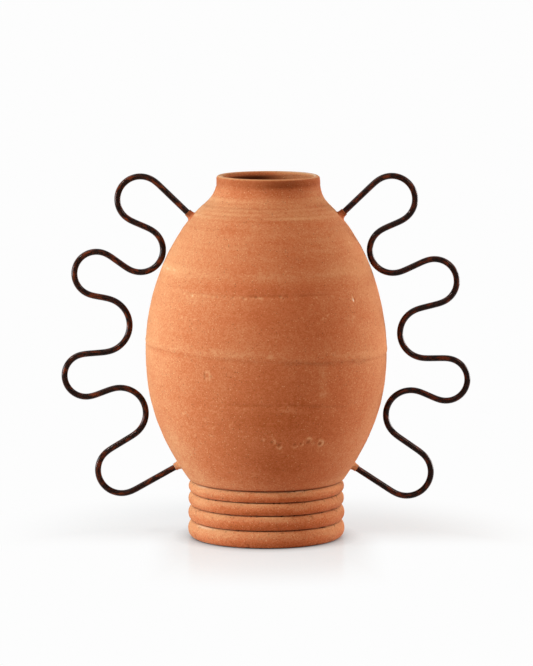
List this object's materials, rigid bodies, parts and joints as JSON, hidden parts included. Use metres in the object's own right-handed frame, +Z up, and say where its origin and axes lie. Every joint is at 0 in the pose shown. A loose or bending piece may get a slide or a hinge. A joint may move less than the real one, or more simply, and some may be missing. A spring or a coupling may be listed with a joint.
{
  "type": "terracotta water jar",
  "caption": "Egg-shaped unglazed terracotta jar with a short rolled neck, a foot of stacked clay coils and wavy bent-rod handles at the sides.",
  "frame": {"origin": "on the ground under the middle of the foot", "axes": "+Z up along the jar's axis; +X towards the right handle, the handles in the XZ plane; -Y is the side in the picture"},
  "size_m": [0.4241, 0.25, 0.3791],
  "materials": {
    "terracotta": "matt, unglazed, sandy",
    "browned_rod": "browned and lacquered, glossy with rust mottling",
    "bedding": "matt tinted cement"
  },
  "bodies": {
    "root": {"lower_body": "terracotta", "upper_body": "terracotta", "neck": "terracotta", "foot_coil_1": "terracotta", "foot_coil_2": "terracotta", "foot_coil_3": "terracotta", "foot_coil_4": "terracotta", "left_upper_socket": "terracotta", "left_lower_socket": "terracotta", "right_upper_socket": "terracotta", "right_lower_socket": "terracotta", "left_handle": "browned_rod", "right_handle": "browned_rod", "left_upper_bedding": "bedding", "left_lower_bedding": "bedding", "right_upper_bedding": "bedding", "right_lower_bedding": "bedding"}
  },
  "joints": []
}
